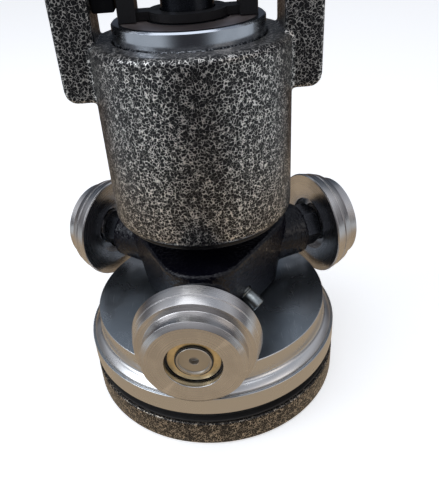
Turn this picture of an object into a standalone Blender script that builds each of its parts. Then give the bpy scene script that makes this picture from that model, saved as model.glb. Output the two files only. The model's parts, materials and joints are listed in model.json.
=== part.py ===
"""Three-roller spindle head on a stepped disc and a painted foot.

A painted yoke casting carries a spindle on two roller bearings. A three-armed spider is keyed to the
spindle's lower end, and each arm holds a stepped roller on its own axle stud. Under the spider a stepped
disc turns on a thrust bearing in the foot. Lengths are in millimetres and are scaled to metres at the
point where a mesh is made. The origin is the centre of the foot's underside, and +Z is up.
"""

import math

import bmesh
import bpy

MM = 0.001
GAP = 0.3
LARGE = 44
MEDIUM = 28
SMALL = 16

# Foot and stepped disc
FOOT_RADIUS = 75.2
FOOT_HEIGHT = 16.8
SEAL_RADIUS = 70.3
SEAL_FLANGE = (73.8, 1.2)
DISC_BOTTOM = 25.0
DISC_RIM_TOP = 36.2
DISC_STEP_FOOT = 42.8
DISC_TOP = 52.0
DISC_RIM_RADIUS = 75.2
DISC_STEP_RADIUS = 68.7
DISC_COVE = 3.6
DISC_BORE = 11.9
POST_RADIUS = 9.0
POST_BOTTOM = 6.3
POST_TOP = 88.0
POST_SOCKET_TOP = 20.0
THRUST_INNER = 27.5
THRUST_OUTER = 41.4
THRUST_FLOOR = 12.0
THRUST_CEILING = 30.0
THRUST_WASHER = 4.2
THRUST_PITCH = 34.5
THRUST_ROLLER = 3.9
THRUST_COUNT = 8

# Spider and rollers: distances along an arm are measured from the spindle axis
ARM_COUNT = 3
FIRST_ARM = math.radians(-96.9)
ROLLER_AXIS = 77.0
SPIDER_BOTTOM = 54.0
SPIDER_TOP = 97.0
SPIDER_CHAMFER = 1.5
CORNER_TOP_RADIUS = 24.0
CORNER_TOP_REACH = 26.0
CORNER_BOTTOM_RADIUS = 20.0
CORNER_BOTTOM_REACH = 24.0
BOSS_RADIUS = 16.0
BOSS_END = 61.5
NUT_START = 62.0
NUT_END = 73.0
NUT_CORNER_RADIUS = 13.3
STUD_RADIUS = 8.5
STUD_START = 34.3
STUD_END = 89.0
ROLLER_REAR = 71.4
ROLLER_GROOVE = 77.8
FLANGE_FRONT = 82.5
ROLLER_FRONT = 91.5
FLANGE_RADIUS = 32.1
FLANGE_FRONT_RADIUS = 29.2
HUB_RADIUS = 25.3
FACE_RADIUS = 22.7
ROLLER_BORE = 13.9
REAR_BORE = 16.6
RACE_START = 78.4
RACE_END = 84.8
SPACER_END = 78.1
BUSH_START = 85.1
BUSH_RADIUS = 11.8
WASHER_START = 86.6
WASHER_END = 87.7
WASHER_RADIUS = 12.8
CLIP_GROOVE_START = 85.0
CLIP_GROOVE_END = 86.6
CLIP_GROOVE_RADIUS = 14.9
STUD_GROOVE = (87.7, 88.8)
STUD_GROOVE_RADIUS = 7.9
BORE_SHOULDER = 12.0
SHOULDER_START = 76.5

# Spindle, yoke and bearings
SPINDLE_TOP = 240.0
SPINDLE_RADIUS = 12.4
UPPER_SEAT = 15.0
LOWER_SEAT = 17.2
SPIDER_SEAT = 14.0
SPINDLE_BOTTOM = 56.3
COUNTERBORE_RADIUS = 22.5
COUNTERBORE_TOP = 67.3
KEY_WIDTH = 6.0
KEY_BOTTOM = 70.3
KEY_TOP = 92.0
SCREW_TIP = (41.0, 11.0, 62.5)
SCREW_DIP = math.radians(34)
SCREW_RADIUS = 4.25
SCREW_LENGTH = 24.0
SCREW_SOCKET = 2.3
SCREW_SOCKET_DEPTH = 4.0
BARREL_RADIUS = 48.25
BARREL_BOTTOM = 112.8
BARREL_TOP = 203.4
LOWER_BORE = 36.3
MIDDLE_BORE = 31.0
UPPER_BORE = 36.4
LOWER_SHOULDER = 133.6
SLEEVE_BOTTOM = 190.0
SLEEVE_TOP = 211.1
SLEEVE_RADIUS = 36.1
SLEEVE_BORE = 31.3
SLEEVE_LIP = 28.5
SLEEVE_RIM = 32.4
SEAL_BOTTOM = 209.3
SEAL_INNER = 19.6
UPPER_RACE_TOP = 206.3
YOKE_INNER = 43.3
YOKE_OUTER = 61.3
YOKE_DEPTH = 27.4
YOKE_BOTTOM = 177.5
YOKE_TOP = 252.0
COLLAR_BOTTOM = 211.4
COLLAR_FLOOR = 215.0
COLLAR_TOP = 236.0
COLLAR_RADIUS = 32.5
COLLAR_HUB = 18.5
COLLAR_WEB = 11.0
JAW_INNER = 23.5
JAW_DEPTH = 18.0
COLLAR_CUT = 40.0
TIE_BOTTOM = 215.8
TIE_TOP = 228.0
TIE_DEPTH = 14.0

parts = bpy.data.collections.new("three_roller_spindle_head")
cutters = bpy.data.collections.new("cutters")
materials = {}


def clear_scene():
    for obj in list(bpy.data.objects):
        bpy.data.objects.remove(obj)
    bpy.context.scene.collection.children.link(parts)
    bpy.context.scene.collection.children.link(cutters)
    cutters.hide_render = True


def material(name, colour, roughness, metallic):
    made = bpy.data.materials.new(name)
    made.use_nodes = True
    shader = made.node_tree.nodes["Principled BSDF"]
    shader.inputs["Base Color"].default_value = (*colour, 1.0)
    shader.inputs["Roughness"].default_value = roughness
    shader.inputs["Metallic"].default_value = metallic
    made.diffuse_color = (*colour, 1.0)
    materials[name] = made


def make_materials():
    material("hammer_paint", (0.045, 0.043, 0.042), 0.35, 0.3)
    material("gloss_black", (0.012, 0.013, 0.016), 0.22, 0.0)
    material("black_oxide", (0.02, 0.021, 0.024), 0.35, 0.8)
    material("turned_aluminium", (0.62, 0.61, 0.60), 0.35, 1.0)
    material("ground_steel", (0.45, 0.48, 0.52), 0.18, 1.0)
    material("bearing_steel", (0.52, 0.53, 0.55), 0.2, 1.0)
    material("brass", (0.72, 0.58, 0.32), 0.3, 1.0)
    material("black_rubber", (0.015, 0.015, 0.015), 0.7, 0.0)


def add_object(name, mesh, material_name=None):
    """A part with its material, or a hidden cutter when no material is given."""
    obj = bpy.data.objects.new(name, mesh)
    if material_name is None:
        cutters.objects.link(obj)
        obj.hide_render = True
        obj.display_type = "WIRE"
    else:
        parts.objects.link(obj)
        obj.data.materials.append(materials[material_name])
    return obj


def mesh_of(name, shape):
    mesh = bpy.data.meshes.new(name)
    shape.to_mesh(mesh)
    shape.free()
    return mesh


def turned(name, profile, steps, material_name=None, ring=False):
    """Turns (radius, height) points, listed down the outer side, about the object's own Z axis."""
    shape = bmesh.new()
    points = [shape.verts.new((radius * MM, 0.0, height * MM)) for radius, height in profile]
    for first, second in zip(points, points[1:]):
        shape.edges.new((first, second))
    if ring:
        shape.edges.new((points[-1], points[0]))
    obj = add_object(name, mesh_of(name, shape), material_name)
    screw = obj.modifiers.new("Turn", "SCREW")
    screw.axis = "Z"
    screw.steps = steps
    screw.render_steps = steps
    screw.use_merge_vertices = True
    screw.merge_threshold = 0.00001
    screw.use_smooth_shade = True
    return obj


def tube(name, inner, outer, low, high, steps, material_name=None):
    profile = [(outer, high), (outer, low), (inner, low), (inner, high)]
    return turned(name, profile, steps, material_name, ring=True)


def rod(name, radius, low, high, steps, material_name=None):
    profile = [(0.0, high), (radius, high), (radius, low), (0.0, low)]
    return turned(name, profile, steps, material_name)


def box(name, low, high, material_name=None):
    shape = bmesh.new()
    bmesh.ops.create_cube(shape, size=1.0)
    for vert in shape.verts:
        for axis in range(3):
            middle = (low[axis] + high[axis]) / 2
            vert.co[axis] = (middle + vert.co[axis] * (high[axis] - low[axis])) * MM
    return add_object(name, mesh_of(name, shape), material_name)


def arc(centre, radius, start, end, steps):
    """Points on a circular arc from start to end, in degrees."""
    angles = [math.radians(start + (end - start) * step / steps) for step in range(steps + 1)]
    return [(centre[0] + radius * math.cos(a), centre[1] + radius * math.sin(a)) for a in angles]


def boolean(obj, other, operation):
    modifier = obj.modifiers.new(operation.title() + " " + other.name, "BOOLEAN")
    modifier.operation = operation
    modifier.object = other
    modifier.solver = "EXACT"


def bevel(obj, width, segments, angle=40.0):
    modifier = obj.modifiers.new("Bevel", "BEVEL")
    modifier.width = width * MM
    modifier.segments = segments
    modifier.limit_method = "ANGLE"
    modifier.angle_limit = math.radians(angle)


def station(name, height, angle):
    """An empty on the spindle axis whose Z axis points outward along one arm of the spider."""
    empty = bpy.data.objects.new(name, None)
    empty.location = (0.0, 0.0, height * MM)
    empty.rotation_euler = (0.0, math.pi / 2, angle)
    parts.objects.link(empty)
    return empty


def arm_angle(index):
    return FIRST_ARM + index * 2 * math.pi / ARM_COUNT


def bearing_cage(name, inner, outer, low, high, pitch, roller, count, steps):
    """A cage ring with its rollers, joined into one body."""
    cage = tube(name, inner, outer, low, high, steps, "bearing_steel")
    shape = bmesh.new()
    for index in range(count):
        before = set(shape.verts)
        bmesh.ops.create_cone(
            shape,
            cap_ends=True,
            segments=6,
            radius1=roller * MM,
            radius2=roller * MM,
            depth=(high - low - 2.0) * MM,
        )
        angle = 2 * math.pi * index / count
        shift = (pitch * math.cos(angle) * MM, pitch * math.sin(angle) * MM, (high + low) / 2 * MM)
        bmesh.ops.translate(shape, vec=shift, verts=[v for v in shape.verts if v not in before])
    rollers = add_object(name + "_rollers", mesh_of(name + "_rollers", shape))
    boolean(cage, rollers, "UNION")
    return cage, rollers


# Foot, thrust bearing and stepped disc


def foot():
    profile = [(0.0, POST_BOTTOM - GAP), (POST_RADIUS + GAP, POST_BOTTOM - GAP)]
    profile += [(POST_RADIUS + GAP, POST_SOCKET_TOP), (THRUST_INNER - 0.5, POST_SOCKET_TOP)]
    profile += [(THRUST_INNER - 0.5, THRUST_FLOOR), (THRUST_OUTER, THRUST_FLOOR)]
    profile += [(THRUST_OUTER, FOOT_HEIGHT), (FOOT_RADIUS - 1.0, FOOT_HEIGHT)]
    profile += [(FOOT_RADIUS, FOOT_HEIGHT - 1.0)]
    profile += arc((FOOT_RADIUS - 2.2, 2.2), 2.2, 0, -90, 2)
    profile += [(0.0, 0.0)]
    turned("base_pad", profile, LARGE, "hammer_paint")


def pivot_post():
    profile = [(0.0, POST_TOP), (POST_RADIUS - 1.0, POST_TOP), (POST_RADIUS, POST_TOP - 1.0)]
    profile += [(POST_RADIUS, POST_BOTTOM), (0.0, POST_BOTTOM)]
    turned("pivot_post", profile, SMALL, "ground_steel")


def gap_seal():
    """A black ring between the foot and the disc, with a thin flange over the foot's top."""
    low = FOOT_HEIGHT + GAP
    high = DISC_BOTTOM - GAP
    profile = [(SEAL_RADIUS, high), (SEAL_RADIUS, low + SEAL_FLANGE[1])]
    profile += [(SEAL_FLANGE[0], low + SEAL_FLANGE[1]), (SEAL_FLANGE[0], low)]
    profile += [(SEAL_RADIUS - 4.3, low), (SEAL_RADIUS - 4.3, high)]
    turned("gap_seal_ring", profile, LARGE, "black_rubber", ring=True)


def thrust_bearing():
    inner = THRUST_INNER + 0.5
    outer = THRUST_OUTER - 0.4
    lower = THRUST_FLOOR + GAP
    upper = THRUST_CEILING - GAP
    tube("thrust_washer_lower", inner, outer, lower, lower + THRUST_WASHER, MEDIUM, "bearing_steel")
    tube("thrust_washer_upper", inner, outer, upper - THRUST_WASHER, upper, MEDIUM, "bearing_steel")
    middle = (lower + upper) / 2
    cage = tube("thrust_cage", inner + 1.0, outer - 1.0, middle - 1.5, middle + 1.5, SMALL, "brass")
    shape = bmesh.new()
    bmesh.ops.create_cone(
        shape,
        cap_ends=True,
        segments=8,
        radius1=THRUST_ROLLER * MM,
        radius2=THRUST_ROLLER * MM,
        depth=8.0 * MM,
    )
    mesh = mesh_of("thrust_roller", shape)
    for index in range(THRUST_COUNT):
        angle = 2 * math.pi * index / THRUST_COUNT
        roller = add_object(f"thrust_roller_{index + 1}", mesh)
        roller.location = (
            THRUST_PITCH * math.cos(angle) * MM,
            THRUST_PITCH * math.sin(angle) * MM,
            middle * MM,
        )
        roller.rotation_euler = (0.0, math.pi / 2, angle)
        boolean(cage, roller, "UNION")


def stepped_disc():
    cove = arc((DISC_STEP_RADIUS + DISC_COVE, DISC_STEP_FOOT), DISC_COVE, 180, 250, 2)
    profile = [(DISC_BORE, DISC_TOP), (DISC_STEP_RADIUS - 0.6, DISC_TOP)]
    profile += [(DISC_STEP_RADIUS, DISC_TOP - 0.6)]
    profile += cove
    profile += [(73.4, 37.2), (73.5, 35.6), (74.0, 35.6), (74.1, DISC_RIM_TOP)]
    profile += [(DISC_RIM_RADIUS, DISC_RIM_TOP), (DISC_RIM_RADIUS, DISC_BOTTOM + 0.6)]
    profile += [(DISC_RIM_RADIUS - 0.6, DISC_BOTTOM)]
    profile += [(THRUST_OUTER, DISC_BOTTOM), (THRUST_OUTER, THRUST_CEILING)]
    profile += [(THRUST_INNER, THRUST_CEILING), (THRUST_INNER, DISC_BOTTOM)]
    profile += [(DISC_BORE, DISC_BOTTOM)]
    turned("stepped_disc", profile, LARGE, "turned_aluminium", ring=True)
    inner = POST_RADIUS + GAP
    tube("disc_bush", inner, DISC_BORE - GAP, DISC_BOTTOM - 1.0, DISC_TOP, SMALL, "brass")


# Spider, its keys and screws


def corner_cone(shape, index, low, high, low_radius, high_radius, low_reach, high_reach):
    """Adds one corner of the spider's body: two circles whose hull leans outward as it rises."""
    angle = arm_angle(index)
    for height, radius, reach in ((low, low_radius, low_reach), (high, high_radius, high_reach)):
        made = bmesh.ops.create_circle(shape, segments=18, radius=radius * MM)
        shift = (reach * math.cos(angle) * MM, reach * math.sin(angle) * MM, height * MM)
        bmesh.ops.translate(shape, vec=shift, verts=made["verts"])


def spider_body():
    shape = bmesh.new()
    edge = SPIDER_TOP - SPIDER_CHAMFER
    for index in range(ARM_COUNT):
        corner_cone(
            shape,
            index,
            SPIDER_BOTTOM,
            edge,
            CORNER_BOTTOM_RADIUS,
            CORNER_TOP_RADIUS,
            CORNER_BOTTOM_REACH,
            CORNER_TOP_REACH,
        )
        top_radius = CORNER_TOP_RADIUS - SPIDER_CHAMFER
        corner_cone(
            shape,
            index,
            edge,
            SPIDER_TOP,
            CORNER_TOP_RADIUS,
            top_radius,
            CORNER_TOP_REACH,
            CORNER_TOP_REACH,
        )
    made = bmesh.ops.convex_hull(shape, input=shape.verts)
    unused = [item for item in made["geom_interior"] if isinstance(item, bmesh.types.BMVert)]
    bmesh.ops.delete(shape, geom=unused, context="VERTS")
    bmesh.ops.dissolve_limit(
        shape, angle_limit=math.radians(0.5), verts=shape.verts, edges=shape.edges
    )
    return mesh_of("spider", shape)


def spider():
    body = add_object("spider", spider_body(), "gloss_black")
    for index in range(ARM_COUNT):
        axis = station(f"arm_{index + 1}", ROLLER_AXIS, arm_angle(index))
        boss = rod(f"spider_boss_{index + 1}", BOSS_RADIUS, 28.0, BOSS_END, 20)
        boss.parent = axis
        boolean(body, boss, "UNION")
        hole = rod(f"stud_hole_{index + 1}", STUD_RADIUS + GAP, STUD_START - GAP, 70.0, SMALL)
        hole.parent = axis
        boolean(body, hole, "DIFFERENCE")
    bore = rod("spider_bore", SPIDER_SEAT + GAP, 50.0, 100.0, 24)
    boolean(body, bore, "DIFFERENCE")
    counterbore = rod("spider_counterbore", COUNTERBORE_RADIUS, 50.0, COUNTERBORE_TOP, 24)
    boolean(body, counterbore, "DIFFERENCE")
    half = KEY_WIDTH / 2 + GAP
    keyway = box("spider_keyway", (-half, 10.0, KEY_BOTTOM - GAP), (half, 17.3, SPIDER_TOP + 3.0))
    boolean(body, keyway, "DIFFERENCE")
    return body


def clamp_screw(body):
    """A set screw in the wall between the first and second arms. Its outer end dips to the disc."""
    angle = arm_angle(0) + math.pi / ARM_COUNT
    reach, side, height = SCREW_TIP
    axis = station("clamp_screw_axis", height, angle)
    axis.rotation_euler.y += SCREW_DIP
    axis.location.x = (reach * math.cos(angle) + side * math.sin(angle)) * MM
    axis.location.y = (reach * math.sin(angle) - side * math.cos(angle)) * MM
    hole = rod("clamp_screw_hole", SCREW_RADIUS + GAP, -SCREW_LENGTH - GAP, 5.0, SMALL)
    hole.parent = axis
    boolean(body, hole, "DIFFERENCE")
    profile = [(0.0, -SCREW_SOCKET_DEPTH), (SCREW_SOCKET, -SCREW_SOCKET_DEPTH)]
    profile += [(SCREW_SOCKET, 0.0), (SCREW_RADIUS - 0.5, 0.0)]
    profile += [(SCREW_RADIUS, -0.5), (SCREW_RADIUS, 0.8 - SCREW_LENGTH)]
    profile += [(SCREW_RADIUS - 0.8, -SCREW_LENGTH), (0.0, -SCREW_LENGTH)]
    screw = turned("clamp_screw", profile, SMALL, "ground_steel")
    screw.parent = axis


def spindle():
    profile = [(0.0, SPINDLE_TOP), (SPINDLE_RADIUS - 1.0, SPINDLE_TOP)]
    seat_top = UPPER_RACE_TOP + GAP
    seat_bottom = LOWER_SHOULDER + 0.4
    profile += [(SPINDLE_RADIUS, SPINDLE_TOP - 1.0), (SPINDLE_RADIUS, seat_top)]
    profile += [(UPPER_SEAT, seat_top), (UPPER_SEAT, seat_bottom), (LOWER_SEAT, seat_bottom)]
    profile += [(LOWER_SEAT, SPIDER_TOP + GAP), (SPIDER_SEAT, SPIDER_TOP + GAP)]
    profile += [(SPIDER_SEAT, SPINDLE_BOTTOM + 1.0), (SPIDER_SEAT - 1.0, SPINDLE_BOTTOM)]
    profile += [(POST_RADIUS + GAP, SPINDLE_BOTTOM), (POST_RADIUS + GAP, POST_TOP + 1.0)]
    profile += [(0.0, POST_TOP + 1.0)]
    shaft = turned("spindle", profile, 24, "black_oxide")
    half = KEY_WIDTH / 2
    keyway = box(
        "spindle_keyway", (-half - GAP, 11.0, KEY_BOTTOM - GAP), (half + GAP, 16.0, KEY_TOP + GAP)
    )
    boolean(shaft, keyway, "DIFFERENCE")
    drive_slot = box("spindle_drive_keyway", (-half, 9.5, 222.0), (half, 14.0, SPINDLE_TOP + 5.0))
    boolean(shaft, drive_slot, "DIFFERENCE")
    box("spider_key", (-half, 11.3, KEY_BOTTOM), (half, 17.0, KEY_TOP), "ground_steel")


def hexagon(name, circumradius, bore, low, high, material_name):
    """A hexagon nut with chamfered corners on both faces. Returns the nut and its two cutters."""
    flat = circumradius * math.cos(math.pi / 6)
    drop = (circumradius - flat) * math.tan(math.radians(30))
    profile = [(0.0, high), (flat, high), (circumradius, high - drop)]
    profile += [(circumradius, low + drop), (flat, low), (0.0, low)]
    nut = turned(name, profile, 12, material_name)
    shape = bmesh.new()
    bmesh.ops.create_cone(
        shape,
        cap_ends=True,
        segments=6,
        radius1=circumradius * MM,
        radius2=circumradius * MM,
        depth=(high - low + 4.0) * MM,
    )
    bmesh.ops.translate(shape, vec=(0.0, 0.0, (high + low) / 2 * MM), verts=shape.verts)
    prism = add_object(name + "_flats", mesh_of(name + "_flats", shape))
    boolean(nut, prism, "INTERSECT")
    hole = rod(name + "_bore", bore, low - 2.0, high + 2.0, SMALL)
    boolean(nut, hole, "DIFFERENCE")
    return nut, prism, hole


def spindle_nut():
    hexagon("spindle_nut", 20.8, SPIDER_SEAT + 0.6, 57.0, 67.0, "black_oxide")


# Rollers and what holds them


def roller_profile():
    groove = ROLLER_GROOVE
    profile = [(ROLLER_BORE + 0.4, ROLLER_FRONT), (FACE_RADIUS, ROLLER_FRONT)]
    profile += [(HUB_RADIUS, ROLLER_FRONT - 1.6), (HUB_RADIUS, FLANGE_FRONT + 0.5)]
    profile += [(HUB_RADIUS + 0.5, FLANGE_FRONT), (FLANGE_FRONT_RADIUS - 0.3, FLANGE_FRONT)]
    profile += [(FLANGE_FRONT_RADIUS, FLANGE_FRONT - 0.3), (30.7, groove + 0.4)]
    profile += [(30.1, groove), (30.8, groove - 0.4)]
    profile += [(FLANGE_RADIUS, ROLLER_REAR + 0.7), (FLANGE_RADIUS - 0.7, ROLLER_REAR)]
    profile += [(REAR_BORE, ROLLER_REAR), (REAR_BORE, SHOULDER_START)]
    profile += [(BORE_SHOULDER, SHOULDER_START), (BORE_SHOULDER, RACE_START - GAP)]
    profile += [(ROLLER_BORE, RACE_START - GAP), (ROLLER_BORE, CLIP_GROOVE_START)]
    profile += [(CLIP_GROOVE_RADIUS, CLIP_GROOVE_START), (CLIP_GROOVE_RADIUS, CLIP_GROOVE_END)]
    profile += [(ROLLER_BORE, CLIP_GROOVE_END), (ROLLER_BORE, ROLLER_FRONT - 0.4)]
    return profile


def stud_profile():
    dish = STUD_END - 0.9
    groove_low, groove_high = STUD_GROOVE
    profile = [(0.0, dish - 3.0), (2.0, dish - 2.2), (2.3, dish), (7.2, dish), (7.4, STUD_END)]
    profile += [(STUD_RADIUS - 0.2, STUD_END), (STUD_RADIUS, groove_high)]
    profile += [(STUD_GROOVE_RADIUS, groove_high), (STUD_GROOVE_RADIUS, groove_low)]
    profile += [(STUD_RADIUS, groove_low)]
    profile += [(STUD_RADIUS, STUD_START + 1.0), (STUD_RADIUS - 1.0, STUD_START), (0.0, STUD_START)]
    return profile


def bush_profile(inner):
    """A brass bush against the inner race, with a flange in front of the bore clip."""
    profile = [(WASHER_RADIUS, WASHER_END), (WASHER_RADIUS, WASHER_START)]
    profile += [(BUSH_RADIUS, WASHER_START), (BUSH_RADIUS, BUSH_START)]
    return profile + [(inner, BUSH_START), (inner, WASHER_END)]


def split_ring(name, inner, outer, low, high, opening, steps, material_name):
    """A retaining ring with a gap on its lower side."""
    ring = tube(name, inner, outer, low, high, steps, material_name)
    half = opening / 2
    slot = box(name + "_slot", (inner - 2.0, -half, low - 1.0), (outer + 1.0, half, high + 1.0))
    boolean(ring, slot, "DIFFERENCE")
    return [ring, slot]


def roller_set(index):
    number = index + 1
    pieces = [turned(f"roller_{number}", roller_profile(), MEDIUM, "turned_aluminium", ring=True)]
    pieces += [turned(f"axle_stud_{number}", stud_profile(), SMALL, "ground_steel")]
    inner = STUD_RADIUS + GAP
    nut = f"lock_nut_{number}"
    pieces += hexagon(nut, NUT_CORNER_RADIUS, inner, NUT_START, NUT_END, "black_oxide")
    steel = "bearing_steel"
    pieces += [tube(f"stud_spacer_{number}", inner, 11.4, NUT_END + GAP, SPACER_END, SMALL, steel)]
    pieces += [tube(f"roller_race_inner_{number}", inner, 9.8, RACE_START, RACE_END, SMALL, steel)]
    pieces += [tube(f"roller_race_outer_{number}", 12.6, 13.6, RACE_START, RACE_END, 24, steel)]
    pieces += bearing_cage(
        f"roller_cage_{number}", 10.7, 11.7, RACE_START + 0.2, RACE_END - 0.2, 11.2, 1.0, 6, SMALL
    )
    bush = f"brass_washer_{number}"
    pieces += [turned(bush, bush_profile(inner), SMALL, "brass", ring=True)]
    low = CLIP_GROOVE_START + GAP
    high = CLIP_GROOVE_END - GAP
    pieces += split_ring(f"bore_clip_{number}", 12.4, 14.6, low, high, 8.6, SMALL, "black_oxide")
    low = STUD_GROOVE[0] + GAP
    high = STUD_GROOVE[1] - GAP
    pieces += split_ring(f"axle_clip_{number}", 8.2, 9.2, low, high, 4.0, SMALL, "black_oxide")
    axis = bpy.data.objects[f"arm_{number}"]
    for piece in pieces:
        piece.parent = axis


# Yoke casting, bearings and what stands on top


def yoke():
    profile = arc((UPPER_BORE + 1.0, BARREL_TOP - 1.0), 1.0, 180, 90, 1)
    profile += arc((BARREL_RADIUS - 3.0, BARREL_TOP - 3.0), 3.0, 90, 0, 2)
    profile += arc((BARREL_RADIUS - 3.5, BARREL_BOTTOM + 3.5), 3.5, 0, -90, 2)
    profile += [(LOWER_BORE, BARREL_BOTTOM), (LOWER_BORE, LOWER_SHOULDER)]
    profile += [(MIDDLE_BORE, LOWER_SHOULDER), (MIDDLE_BORE, SLEEVE_BOTTOM - GAP)]
    profile += [(UPPER_BORE, SLEEVE_BOTTOM - GAP)]
    casting = turned("yoke_housing", profile, LARGE, "hammer_paint", ring=True)
    for side in (-1, 1):
        arm = yoke_arm("yoke_arm_left" if side < 0 else "yoke_arm_right", side)
        boolean(casting, arm, "UNION")


def yoke_arm(name, side):
    """One arm's outline in XZ, extruded along Y, with rounded cast edges."""
    outline = [(YOKE_INNER - 3.0, YOKE_BOTTOM)]
    outline += arc((YOKE_OUTER - 6.0, YOKE_BOTTOM + 6.0), 6.0, -90, 0, 3)
    outline += [(YOKE_OUTER, YOKE_TOP), (YOKE_INNER, YOKE_TOP)]
    outline += arc((YOKE_INNER - 3.0, BARREL_TOP + 2.7), 3.0, 0, -90, 3)
    shape = bmesh.new()
    half = YOKE_DEPTH / 2
    points = [shape.verts.new((side * x * MM, half * MM, z * MM)) for x, z in outline]
    face = shape.faces.new(points)
    made = bmesh.ops.extrude_face_region(shape, geom=[face])
    moved = [item for item in made["geom"] if isinstance(item, bmesh.types.BMVert)]
    bmesh.ops.translate(shape, vec=(0.0, -YOKE_DEPTH * MM, 0.0), verts=moved)
    bmesh.ops.recalc_face_normals(shape, faces=shape.faces)
    arm = add_object(name, mesh_of(name, shape))
    bevel(arm, 2.0, 2, angle=60.0)
    return arm


def bearing_sleeve():
    lip_bottom = UPPER_RACE_TOP + GAP
    lip_top = SEAL_BOTTOM - GAP
    profile = [(SLEEVE_RIM, SLEEVE_TOP), (SLEEVE_RADIUS - 0.8, SLEEVE_TOP)]
    profile += [(SLEEVE_RADIUS, SLEEVE_TOP - 0.8), (SLEEVE_RADIUS, SLEEVE_BOTTOM)]
    profile += [(SLEEVE_BORE, SLEEVE_BOTTOM), (SLEEVE_BORE, lip_bottom), (SLEEVE_LIP, lip_bottom)]
    profile += [(SLEEVE_LIP, lip_top), (SLEEVE_RIM, lip_top)]
    turned("bearing_sleeve", profile, LARGE, "ground_steel", ring=True)


def upper_seal():
    """A thin plate in the sleeve's mouth, which covers the upper bearing."""
    high = SLEEVE_TOP - 0.2
    outer = SLEEVE_RIM - GAP
    tube("upper_seal_plate", SEAL_INNER, outer, SEAL_BOTTOM, high, MEDIUM, "bearing_steel")


def main_bearings():
    steel = "bearing_steel"
    low = BARREL_BOTTOM + 3.5
    high = LOWER_SHOULDER - GAP
    tube("lower_race_outer", 31.2, LOWER_BORE - GAP, low, high, MEDIUM, steel)
    tube("lower_race_inner", LOWER_SEAT + GAP, 22.4, low, high, 24, steel)
    bearing_cage("lower_cage", 25.6, 28.0, low + 0.5, high - 0.5, 26.8, 4.0, 8, 20)
    low = SLEEVE_BOTTOM + GAP
    high = UPPER_RACE_TOP
    tube("upper_race_outer", 26.4, SLEEVE_BORE - GAP, low, high, MEDIUM, steel)
    tube("upper_race_inner", UPPER_SEAT + GAP, 19.6, low, high, 24, steel)
    bearing_cage("upper_cage", 22.0, 24.0, low + 0.5, high - 0.5, 23.0, 3.0, 8, 20)
    low = LOWER_SHOULDER + 0.7
    tube("race_spacer", UPPER_SEAT + 0.6, 18.8, low, SLEEVE_BOTTOM, SMALL, steel)
    low = UPPER_RACE_TOP + 0.6
    high = SLEEVE_TOP - GAP
    tube("race_lock_ring", SPINDLE_RADIUS + 0.6, 19.0, low, high, SMALL, "black_oxide")


def lower_cover():
    high = BARREL_BOTTOM - GAP
    profile = [(LOWER_BORE - 0.4, high + 3.5), (LOWER_BORE - 0.4, high), (43.2, high)]
    profile += [(44.0, high - 0.8), (44.0, high - 2.4), (43.2, high - 3.2)]
    profile += [(LOWER_SEAT + 1.0, high - 3.2), (LOWER_SEAT + 1.0, high + 2.0)]
    profile += [(31.0, high + 2.0), (31.0, high + 3.5)]
    turned("lower_cover", profile, MEDIUM, "gloss_black", ring=True)


def jaw_collar():
    """A hub with a web to each side, and an upright jaw on the end of each web."""
    inner = SPINDLE_RADIUS + 0.6
    shade = "gloss_black"
    collar = tube("jaw_collar", inner, COLLAR_RADIUS, COLLAR_BOTTOM, COLLAR_TOP, MEDIUM, shade)
    low = (-JAW_INNER, -COLLAR_CUT, COLLAR_FLOOR)
    slot = box("jaw_slot", low, (JAW_INNER, COLLAR_CUT, COLLAR_TOP + 2.0))
    boolean(collar, slot, "DIFFERENCE")
    for side, name in ((-1, "front"), (1, "rear")):
        for depth, width, part in ((JAW_DEPTH, COLLAR_CUT, "jaw"), (COLLAR_WEB, JAW_INNER, "web")):
            near, far = sorted((side * depth / 2, side * COLLAR_CUT))
            low = (-width, near, COLLAR_BOTTOM - 2.0)
            trim = box(f"{part}_trim_{name}", low, (width, far, COLLAR_TOP + 2.0))
            hub_name = f"{part}_hub_{name}"
            hub = rod(hub_name, COLLAR_HUB, COLLAR_BOTTOM - 3.0, COLLAR_TOP + 3.0, MEDIUM)
            boolean(trim, hub, "DIFFERENCE")
            boolean(collar, trim, "DIFFERENCE")


def tie_bar():
    """A bar that holds the collar to the left arm, so that the collar can't turn with the spindle."""
    half = TIE_DEPTH / 2
    low = (-YOKE_INNER + GAP, -half, TIE_BOTTOM)
    high = (-COLLAR_RADIUS - GAP, half, TIE_TOP)
    bar = box("tie_bar", low, high, "gloss_black")
    bevel(bar, 1.0, 2)


def smooth_parts():
    for obj in parts.objects:
        if obj.type == "MESH":
            obj.data.shade_smooth()
            obj.data.set_sharp_from_angle(angle=math.radians(35))


clear_scene()
make_materials()
foot()
pivot_post()
gap_seal()
thrust_bearing()
stepped_disc()
spider_casting = spider()
clamp_screw(spider_casting)
spindle()
spindle_nut()
for arm_index in range(ARM_COUNT):
    roller_set(arm_index)
yoke()
bearing_sleeve()
upper_seal()
main_bearings()
lower_cover()
jaw_collar()
tie_bar()
smooth_parts()
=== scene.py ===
"""The finished look of the three-roller spindle head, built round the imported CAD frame.

Lengths are in millimetres and are scaled to metres where a mesh is made. Each visible CAD node is stood for
by a finer piece of the same size, and the nodes that are hidden inside get a procedural material.
"""

import json
import math

import bmesh
import bpy
from mathutils import Matrix, Vector

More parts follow.
